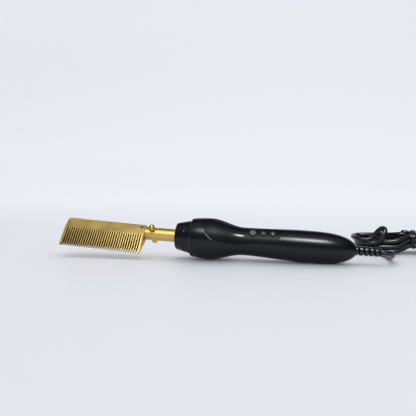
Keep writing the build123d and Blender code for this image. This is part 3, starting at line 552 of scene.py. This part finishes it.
# Places are in millimetres on the table. The hank's own y counts from its middle line.
HANK_Y = 88.0
TIE_X = 207.5
INTO_TIE, OUT_OF_TIE = TIE_X - 3.0, TIE_X + 5.0
BACK_INTO_TIE = TIE_X - 4.0
LEFT_RUN, NEAR_TIE, RIGHT_RUN = 182.0, 194.0, 222.0

# shares of a loop's half width: how far the points beside its end stand back and out
FOLD_BACK, FOLD_OUT = 0.3, 0.86

LEAD = [
    (158.546, 0.0, 11.75), (161.8, 0.0, 11.58), (166.2, 1.0, 11.0), (169.4, 4.2, 9.9), (171.2, 9.6, 8.2),
    (172.0, 16.6, 6.2), (172.8, 25.0, 4.3), (173.4, 34.5, 2.9), (173.4, 45.0, 2.7), (171.2, 56.0, 2.7),
    (165.8, 64.4, 2.7),
]

# One row a turn of the hank: the way along the near side to the left loop (x, y, z), the left loop
# (end, half width, z), the place in the tie (y, z), the right loop (end, half width, z), and the place
# in the tie on the way back.
TURNS = [
    ([(161.0, -20.2, 2.75)],
     (146.5, 19.6, 2.75), (10.8, 9.4), (257.2, 20.0, 2.75), (-10.8, 9.2)),
    ([(195.0, -14.8, 5.0), (187.5, -18.0, 2.8), (177.0, -17.0, 2.9), (165.0, -14.6, 2.75)],
     (152.0, 14.5, 2.75), (5.4, 9.0), (251.8, 14.5, 2.75), (-5.4, 8.8)),
    ([(194.5, -8.5, 5.2), (186.0, -11.0, 3.0), (177.0, -9.8, 2.75), (168.0, -9.3, 2.75)],
     (157.5, 9.2, 2.75), (0.0, 10.2), (246.8, 9.6, 2.75), (-10.6, 14.8)),
    ([(195.5, -15.0, 10.4), (187.5, -18.4, 8.0), (177.0, -18.4, 8.0), (165.0, -17.0, 7.6)],
     (149.2, 16.9, 7.5), (10.8, 14.8), (255.6, 17.2, 7.5), (-5.4, 14.2)),
    ([(195.0, -9.0, 13.0), (186.5, -13.0, 11.4), (177.0, -12.6, 8.6), (166.0, -11.8, 7.6)],
     (154.5, 11.7, 7.5), (5.4, 14.6), (250.5, 12.0, 7.5), (-10.4, 20.0)),
    ([(196.0, -14.6, 17.4), (189.0, -18.0, 14.4), (178.5, -17.0, 13.2), (166.0, -13.6, 12.4)],
     (151.0, 13.4, 12.2), (5.2, 20.2), (253.0, 14.0, 12.2), (-4.6, 20.4)),
]

# After the last full turn the cord crosses to the far side, rounds the top loop the other way, comes
# back along the near side, doubles over in a raised fold, and goes round once more to the right end.
OVER_TO_TOP_LOOP = [
    (197.0, -7.5, 21.4), (190.0, -3.5, 20.0), (180.0, 5.5, 18.8), (169.0, 12.2, 17.8), (158.0, 14.4, 17.2),
    (149.6, 12.4, 16.7), (145.6, 0.0, 16.3), (149.4, -12.6, 15.6), (156.0, -15.2, 14.9), (161.6, -15.8, 15.4),
]
RAISED_FOLD = [
    (165.6, -15.6, 18.8), (169.4, -15.8, 24.2), (173.6, -16.4, 28.4), (177.0, -19.6, 27.5),
    (174.6, -22.6, 22.6), (171.2, -23.2, 16.8), (167.4, -22.6, 13.0), (159.6, -21.0, 12.0),
]
LAST_TURN = ((148.6, 18.8, 11.9), (10.4, 20.2), (263.2, 19.6, 8.6))
OUT_OF_HANK = [(258.4, 17.0, 9.8), (263.4, 4.0, 7.2)]
TAIL = [(262.8, 77.0, 3.8), (261.2, 66.5, 2.9), (258.2, 55.5, 5.0), (255.0, 44.5, 8.55), (255.0, 36.5, 8.55)]


def fold(end, wide, z, side):
    """Three points round a loop's end: from the near side at the left (side -1), from the far side at
    the right (side 1)."""
    back = end - side * wide * FOLD_BACK
    out = side * wide * FOLD_OUT
    return [(back, out, z), (end, 0.0, z), (back, -out, z)]


def beside(loop, side):
    """The point where a run meets a right loop, 1.25 half widths before its end."""
    end, wide, z = loop
    return (end - 1.25 * wide, side * wide, z)


def far_side(left, tie, right):
    """The way from a left loop along the far side, through the tie, to its right loop."""
    (end, wide, z), (tie_y, tie_z), (_, wide_right, z_right) = left, tie, right
    return [(end + 1.2 * wide, wide, z), (LEFT_RUN, wide * 0.95, z + 0.4),
            (NEAR_TIE, tie_y + 2.6, (z + 2 * tie_z) / 3), (INTO_TIE, tie_y, tie_z),
            (OUT_OF_TIE, tie_y, tie_z),
            (RIGHT_RUN, (wide_right + tie_y) / 2 + 0.5, (z_right + tie_z) / 2), beside(right, 1)]


def near_side(right, tie):
    """The way from a right loop back along the near side and through the tie."""
    (_, wide_right, z_right), (tie_y, tie_z) = right, tie
    return [beside(right, -1), (RIGHT_RUN, (tie_y - wide_right) / 2 - 0.5, (z_right + tie_z) / 2),
            (OUT_OF_TIE, tie_y, tie_z), (BACK_INTO_TIE, tie_y, tie_z)]


def hank_points():
    """The folded cord, turn after turn: left loop, far side, right loop, near side."""
    points = []
    for to_left, left, far_tie, right, near_tie in TURNS:
        points += to_left + fold(*left, -1) + far_side(left, far_tie, right)
        points += fold(*right, 1) + near_side(right, near_tie)
    left, far_tie, right = LAST_TURN
    points += OVER_TO_TOP_LOOP + RAISED_FOLD + fold(*left, -1) + far_side(left, far_tie, right) + OUT_OF_HANK
    return [(x, y + HANK_Y, z) for x, y, z in points]


def make_cord():
    """One smooth curve, a uniform spline of the third order, with its ends on the relief and the plug."""
    size = sizes()
    curve = bpy.data.curves.new("cord", "CURVE")
    curve.dimensions = "3D"
    curve.bevel_depth = size.diameter / 2
    curve.bevel_resolution = 5
    curve.resolution_u = 8
    curve.use_fill_caps = True
    route = LEAD + hank_points() + TAIL
    spline = curve.splines.new("NURBS")
    spline.points.add(len(route) - 1)
    for point, place in zip(spline.points, route):
        point.co = (*(v * MM for v in place), 1.0)
    spline.order_u = 3
    spline.use_endpoint_u = True
    curve.materials.append(finish("cord jacket"))
    cord = link(bpy.data.objects.new("cord", curve))
    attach(cord, "handle")
    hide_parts("cord_lead", "cord_hank", "cord_tail")
    return cord


# ------------------------------------------------------------------ the hank's tie

# The strap's section, half sides of the oblong that it is wound round, and that oblong's middle, in
# millimetres; its turns, and where round the bundle it starts, as a part of a turn; how far it swings
# along the bundle and where in that swing it starts, in radians.
STRAP_WIDTH, STRAP_THICK = 3.0, 1.0
WOUND_Y, WOUND_Z = 14.1, 9.3
WOUND_AT_X, WOUND_AT_Z = 206.6, 14.9
STRAP_TURNS, STRAP_START = 2.35, 0.2
STRAP_SWING, SWING_START = 5.4, 0.63


def tangents(path):
    """Unit tangents of a path from its neighbours' differences."""
    step = np.gradient(path, axis=0)
    return step / np.linalg.norm(step, axis=1, keepdims=True)


def band(path, outward, width, thickness):
    """A flat strap: at each point of the path, a rounded oblong section whose long side lies across the
    path and whose short side stands outward; the rows are joined and both ends closed. The section is a
    circle's cosine and sine to powers below 1, which square it off."""
    along = tangents(path)
    outward = outward - along * (outward * along).sum(axis=1, keepdims=True)
    outward /= np.linalg.norm(outward, axis=1, keepdims=True)
    across = np.cross(along, outward)
    t = np.linspace(0, 2 * math.pi, 20, endpoint=False)
    c, s = np.cos(t), np.sin(t)
    u = np.sign(c) * np.abs(c) ** 0.35 * width / 2
    v = np.sign(s) * np.abs(s) ** 0.7 * thickness / 2
    rows = path[:, None] + across[:, None] * u[None, :, None] + outward[:, None] * v[None, :, None]
    n, m = rows.shape[:2]
    faces = grid_faces(n, m, wrap_columns=True).tolist()
    faces += [list(range(m))[::-1], list(range((n - 1) * m, n * m))]
    return rows.reshape(-1, 3), faces


def make_tie():
    """A soft strap wound round the bundle: its path runs round an oblong with rounded corners, the
    cosine and sine of its angle to the power 0.75, and moves outwards a little from turn to turn. It
    swings along the bundle once in two turns, so that the turns cross."""
    t = np.linspace(0, 1, 260)
    angle = 2 * math.pi * (STRAP_TURNS * t + STRAP_START)
    c, s = np.cos(angle), np.sin(angle)
    y = WOUND_Y * np.sign(c) * np.abs(c) ** 0.75 * (1 + 0.9 * t / 16)
    z = WOUND_Z * np.sign(s) * np.abs(s) ** 0.75 * (1 + 0.9 * t / 10)
    x = WOUND_AT_X + STRAP_SWING * np.cos(math.pi * STRAP_TURNS * t + SWING_START)
    path = np.stack((x, HANK_Y + y, WOUND_AT_Z + z), axis=1)
    outward = np.stack((0 * c, c, 1.4 * s), axis=1)
    step = np.linalg.norm(np.diff(path, axis=0), axis=1)
    keep = np.concatenate(([0], np.where(step > 1e-3)[0] + 1))
    points, faces = band(path[keep] * MM, outward[keep], STRAP_WIDTH * MM, STRAP_THICK * MM)
    tie = mesh_piece("tie_strap", points, faces)
    tie.data.materials.append(finish("tie strap"))
    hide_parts("cord_tie")
    return tie


# ------------------------------------------------------------------ the strain relief's ribs

# The relief's stations along the handle and its radii, in millimetres. Inside the handle are a sleeve,
# a flange and a throat, each given by where it starts and its radius.
SLEEVE, FLANGE, THROAT = (129.0, 3.9), (134.5, 5.6), (136.9, 4.2)
RELIEF_BORE = 2.75
RIBS_FROM, RELIEF_END = 142.0, 164.4
RIB_RADII = (4.3, 3.9)
CROWN = 0.35
HALF_RIB = 2.32
GROOVES = 144.0 + 4.65 * np.arange(5)
# the last value is the half width round each groove's middle whose faces take the painted shade of the
# grooves
GROOVE_DEPTH, GROOVE_BELL, GROOVE_SHADE_REACH = 1.2, 0.68, 0.62


def from_groove(x):
    """How far each station lies from the nearest groove's middle."""
    return np.abs(x[:, None] - GROOVES[None]).min(axis=1)


def relief_radius(x):
    """Radius along the ribbed length: a straight taper, swelled by a flat-topped crown on each rib (1
    less the fourth power of the distance from the rib's middle) and cut by a rounded groove (a bell of
    the fourth power round each groove's middle)."""
    taper = np.interp(x, (RIBS_FROM, RELIEF_END), RIB_RADII)
    away = from_groove(x)
    crown = CROWN * (1 - np.clip(np.abs(away - HALF_RIB) / HALF_RIB, 0, 1) ** 4)
    return taper + crown - GROOVE_DEPTH * np.exp(-(away / GROOVE_BELL) ** 4)


def make_relief():
    """The relief is its outline turned round the handle's axis: a sleeve and a flange inside the
    handle, the ribs outside it, a rounded end and the bore."""
    x = np.linspace(RIBS_FROM, RELIEF_END - 0.3, 210)
    outside = np.stack((x, relief_radius(x)), axis=1)
    inside = [(SLEEVE[0], RELIEF_BORE), SLEEVE, (FLANGE[0], SLEEVE[1]), FLANGE, (THROAT[0], FLANGE[1]),
              THROAT]
    rim = outside[-1, 1]
    end = [(RELIEF_END - 0.1, rim - 0.12), (RELIEF_END, rim - 0.4), (RELIEF_END, RELIEF_BORE)]
    outline = np.concatenate((inside, outside, end))
    turn = np.linspace(0, 2 * math.pi, 96, endpoint=False)
    ring = np.stack((np.zeros_like(turn), np.cos(turn), np.sin(turn)), axis=1)
    points = outline[:, None, :1] * (1, 0, 0) + outline[:, None, 1:] * ring[None]
    faces = grid_faces(len(outline), len(turn), wrap_rows=True, wrap_columns=True)
    relief = mesh_piece("ribbed_relief", lay(points), faces.tolist())
    relief.data.materials.append(finish("soft relief"))
    relief.data.materials.append(finish("relief groove"))
    # faces near each groove's middle take the material with the painted shade
    face_x, face_radius = outline[faces[:, 0] // len(turn)].T
    dark = (from_groove(face_x) < GROOVE_SHADE_REACH) & (face_x > RIBS_FROM) & (face_radius > RELIEF_BORE + 0.15)
    relief.data.polygons.foreach_set("material_index", dark.astype(np.int32))
    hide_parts("strain_relief")
    return relief


# ------------------------------------------------------------------ the marks on the buttons

# In millimetres: each button's station along the handle and its cap's face across it, and the marks'
# line width, their height, the ring's radius and half the length of a bar.
BUTTONS = {"power": (44.0, -14.083), "minus": (54.0, -14.395), "plus": (63.0, -14.803)}
MARK_WIDTH, MARK_THICK = 0.42, 0.1
RING_RADIUS, HALF_BAR = 1.75, 1.35


def mark(button, lines):
    """Raised print on a button: each line is a flat strap on the cap's face, given as points (along,
    up) from the cap's middle, in millimetres."""
    station, face = BUTTONS[button]
    outward = (lay([(0, -1, 0)]) - lay([(0, 0, 0)]))[0] / MM
    points, faces, start = [], [], 0
    for line in lines:
        path = np.stack((station + line[:, 0], np.full(len(line), face), line[:, 1]), axis=1)
        at, sides = band(lay(path), np.tile(outward, (len(line), 1)), MARK_WIDTH * MM, MARK_THICK * MM)
        points.append(at)
        faces += [[corner + start for corner in side] for side in sides]
        start += len(at)
    piece = mesh_piece(button + "_mark", np.concatenate(points), faces, body=button)
    piece.data.materials.append(finish("printed mark"))
    return piece


def straight(a, b):
    """Five points in a straight line from a to b."""
    return np.linspace(a, b, 5)


def make_marks():
    """A broken ring with a bar for power, a bar for less and a cross for more."""
    sweep = np.radians(np.linspace(38, 322, 40))
    ring = np.stack((RING_RADIUS * np.sin(sweep), RING_RADIUS * np.cos(sweep)), axis=1)
    level, upright = straight((-HALF_BAR, 0), (HALF_BAR, 0)), straight((0, -HALF_BAR), (0, HALF_BAR))
    mark("power", [ring, straight((0, 0.3), (0, 2.2))])
    mark("minus", [level])
    mark("plus", [level, upright])


# ------------------------------------------------------------------ the studio

# The backdrop in metres: half its width, where it starts in front and bends up, its depth and height,
# and the radius of its sweep.
STAGE_HALF, STAGE_FRONT, STAGE_FLAT, STAGE_DEPTH, STAGE_HEIGHT = 3.0, -1.6, 0.6, 2.2, 1.35
SWEEP_RADIUS = 0.9
STAGE_GLOW = 0.28
GLOW_RANGE = (0.2, 2.2)

# Strength of the world's light: from everywhere, from straight up and from the front where gloss
# mirrors it, on dull surfaces, and to the eye.
WORLD_LOW, WORLD_TOP, WORLD_FRONT, WORLD_DULL, WORLD_SEEN = 0.06, 0.44, 0.14, 0.78, 0.8
WORLD_TINT = (0.93, 0.95, 1.0, 1)

# The lamps' names, places, aims and sizes in metres, and their power in watts.
KEY_LAMP = ("key", (0.0, 0.3, 1.4), (0.05, 0.0, 0.0), (1.9, 1.5), 3.5)
GLOSS_LAMPS = (("front box", (0.36, -1.17, 1.58), (0.1, 0.0, 0.02), (0.6, 0.46), 31.0),
               ("left box", (-0.36, -1.2, 1.5), (0.0, 0.0, 0.02), (0.36, 0.5), 10.0))
GLOSS_TINT = (0.96, 0.97, 1.0)
SUN_STRENGTH, SUN_SPREAD, SUN_WAY = 0.7, math.radians(50), (-0.05, -0.9, -1.0)

# The camera's place in millimetres, the directions that lie right, down and inwards in its view, and
# its lens, 430 pixels long for a render 416 pixels wide.
CAMERA_PLACE = (68.086, -423.16, 73.62)
CAMERA_RIGHT = (0.98463771, 0.17459541, 0.0059)
CAMERA_DOWN = (0.0148907, -0.05027398, -0.9986)
CAMERA_INWARD = (-0.17405598, 0.98331143, -0.0521)
SENSOR_WIDTH = 36.0
LENS = 430.0 / 416.0 * SENSOR_WIDTH


def stage_material(name, base):
    """A pale matt surface. Where it is only seen, by the eye or in a reflection, some light of its own
    tops it up to an even pale tone away from the comb, and it keeps the shadow that falls on it."""
    material, wire, shader = new_material(name)
    rays = wire.rays()
    seen = wire.calc("MAXIMUM", rays["Is Camera Ray"], rays["Is Glossy Ray"])
    y, z = wire.parts(wire.coordinates()["Object"])[1:]
    away = wire.spread(wire.calc("ADD", y, z), *GLOW_RANGE, 0.0, 1.0, "LINEAR")
    wire.set(shader["Base Color"], (*base, 1))
    wire.set(shader["Roughness"], 0.42)
    wire.set(shader["Specular IOR Level"], 0.15)
    wire.set(shader["Emission Color"], (*base, 1))
    wire.set(shader["Emission Strength"], wire.times(seen, away, STAGE_GLOW))
    return material


def studio_world(name):
    """The room's own light by direction: dim behind and above the backdrop, brighter straight up and
    towards the front where gloss mirrors it. It falls on dull surfaces evenly, and the eye sees it as
    an even pale tone."""
    world = bpy.data.worlds.new(name)
    world.use_nodes = True
    wire = Wiring(world.node_tree)
    y, z = wire.parts(wire.coordinates()["Generated"])[1:]
    top = wire.times(wire.spread(z, 0.6, 0.95), wire.spread(y, 0.02, 0.32, 1.0, 0.0), WORLD_TOP)
    front = wire.times(wire.spread(y, -0.2, -0.85), WORLD_FRONT)
    light = wire.calc("ADD", wire.calc("ADD", top, front), WORLD_LOW)
    rays = wire.rays()
    light = wire.mix(rays["Is Diffuse Ray"], light, WORLD_DULL)
    light = wire.mix(rays["Is Camera Ray"], light, WORLD_SEEN)
    back = world.node_tree.nodes["Background"].inputs
    wire.set(back["Color"], WORLD_TINT)
    wire.set(back["Strength"], light)
    return world


def make_backdrop():
    """Floor and wall in one sheet: a profile of a flat, a quarter round and an upright, drawn straight
    across."""
    arc = np.linspace(0, math.pi / 2, 17)
    y = np.concatenate(((STAGE_FRONT, STAGE_FLAT), STAGE_DEPTH - SWEEP_RADIUS * (1 - np.sin(arc)),
                        (STAGE_DEPTH,)))
    z = np.concatenate(((0, 0), SWEEP_RADIUS * (1 - np.cos(arc)), (STAGE_HEIGHT,)))
    left, right = (np.stack((np.full_like(y, x), y, z), axis=1) for x in (-STAGE_HALF, STAGE_HALF))
    mesh = bpy.data.meshes.new("studio")
    mesh.from_pydata(np.stack((left, right), axis=1).reshape(-1, 3).tolist(), [],
                     grid_faces(len(y), 2).tolist())
    mesh.shade_smooth()
    studio = link(bpy.data.objects.new("studio", mesh))
    studio.data.materials.append(stage_material("studio", colours().floor))
    studio.visible_shadow = False


def facing(direction):
    """The rotation of a lamp that shines in a direction."""
    return Vector(direction).to_track_quat("-Z", "Y").to_euler()


def lamp(name, place, aim, size, power, tint=(1, 1, 1)):
    """An oblong lamp at a place, aimed at another."""
    light = bpy.data.lights.new(name, "AREA")
    light.shape = "RECTANGLE"
    light.size, light.size_y = size
    light.energy = power
    light.color = tint
    obj = link(bpy.data.objects.new(name, light))
    obj.location = place
    obj.rotation_euler = facing(Vector(aim) - Vector(place))
    return obj


def make_lights():
    """A broad lamp overhead, a soft sun from high behind that turns the shadows a little towards the
    front, and two boxes at the front that only give the gloss its highlights."""
    lamp(*KEY_LAMP).visible_glossy = False
    sun = bpy.data.lights.new("back", "SUN")
    sun.energy = SUN_STRENGTH
    sun.angle = SUN_SPREAD
    back = link(bpy.data.objects.new("back", sun))
    back.rotation_euler = facing(SUN_WAY)
    back.visible_glossy = False
    for values in GLOSS_LAMPS:
        lamp(*values, GLOSS_TINT).visible_diffuse = False
    bpy.context.scene.world = studio_world("studio")


def make_camera():
    """The camera, turned by its view's own directions."""
    camera = bpy.data.cameras.new("camera")
    camera.sensor_width = SENSOR_WIDTH
    camera.lens = LENS
    camera.clip_start = 0.01
    obj = link(bpy.data.objects.new("camera", camera))
    axes = np.array((CAMERA_RIGHT, CAMERA_DOWN, CAMERA_INWARD)) * ((1,), (-1,), (-1,))
    turn = Matrix(axes.tolist()).transposed().to_4x4()
    obj.matrix_world = Matrix.Translation(Vector(CAMERA_PLACE) * MM) @ turn
    bpy.context.scene.camera = obj


# ------------------------------------------------------------------ operators

class HOTCOMB_OT_finishes(bpy.types.Operator):
    """Gives each solid piece its finish"""
    bl_idname = "hotcomb.finishes"
    bl_label = "Finishes"

    def execute(self, context):
        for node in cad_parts:
            if node in NODE_FINISHES:
                dress(node, finish(NODE_FINISHES[node]))
        return {"FINISHED"}


class HOTCOMB_OT_relief(bpy.types.Operator):
    """Makes the strain relief with its ribs and deep grooves"""
    bl_idname = "hotcomb.relief"
    bl_label = "Strain relief"

    def execute(self, context):
        make_relief()
        return {"FINISHED"}


class HOTCOMB_OT_marks(bpy.types.Operator):
    """Prints the marks for power, less and more on the buttons"""
    bl_idname = "hotcomb.marks"
    bl_label = "Button marks"

    def execute(self, context):
        make_marks()
        return {"FINISHED"}


class HOTCOMB_OT_cord(bpy.types.Operator):
    """Lays the cord from the strain relief through its tied hank to the plug"""
    bl_idname = "hotcomb.cord"
    bl_label = "Cord"

    def execute(self, context):
        make_tie()
        make_cord()
        return {"FINISHED"}


class HOTCOMB_OT_stage(bpy.types.Operator):
    """Sets the pale floor and backdrop, the soft lights and the camera"""
    bl_idname = "hotcomb.stage"
    bl_label = "Studio"

    def execute(self, context):
        make_backdrop()
        make_lights()
        make_camera()
        context.scene.view_settings.view_transform = "Standard"
        return {"FINISHED"}


class HOTCOMB_PT_panel(bpy.types.Panel):
    """Lists the hot comb's sizes, colours and steps"""
    bl_idname = "HOTCOMB_PT_panel"
    bl_label = "Hot comb"
    bl_space_type = "VIEW_3D"
    bl_region_type = "UI"
    bl_category = "Hot comb"

    def draw(self, context):
        scene = context.scene
        for group in (scene.hotcomb_cord, scene.hotcomb_colours):
            for name in group.__annotations__:
                self.layout.prop(group, name)
        for step in STEPS:
            self.layout.operator(step.bl_idname)


STEPS = (HOTCOMB_OT_finishes, HOTCOMB_OT_relief, HOTCOMB_OT_marks, HOTCOMB_OT_cord, HOTCOMB_OT_stage)
CLASSES = (HOTCOMB_PG_cord, HOTCOMB_PG_colours, *STEPS, HOTCOMB_PT_panel)


def register():
    for cls in CLASSES:
        bpy.utils.register_class(cls)
    bpy.types.Scene.hotcomb_cord = PointerProperty(type=HOTCOMB_PG_cord)
    bpy.types.Scene.hotcomb_colours = PointerProperty(type=HOTCOMB_PG_colours)


def unregister():
    del bpy.types.Scene.hotcomb_colours
    del bpy.types.Scene.hotcomb_cord
    for cls in reversed(CLASSES):
        bpy.utils.unregister_class(cls)


def main():
    register()
    for step in STEPS:
        group, name = step.bl_idname.split(".")
        getattr(getattr(bpy.ops, group), name)()


if __name__ == "__main__":
    main()
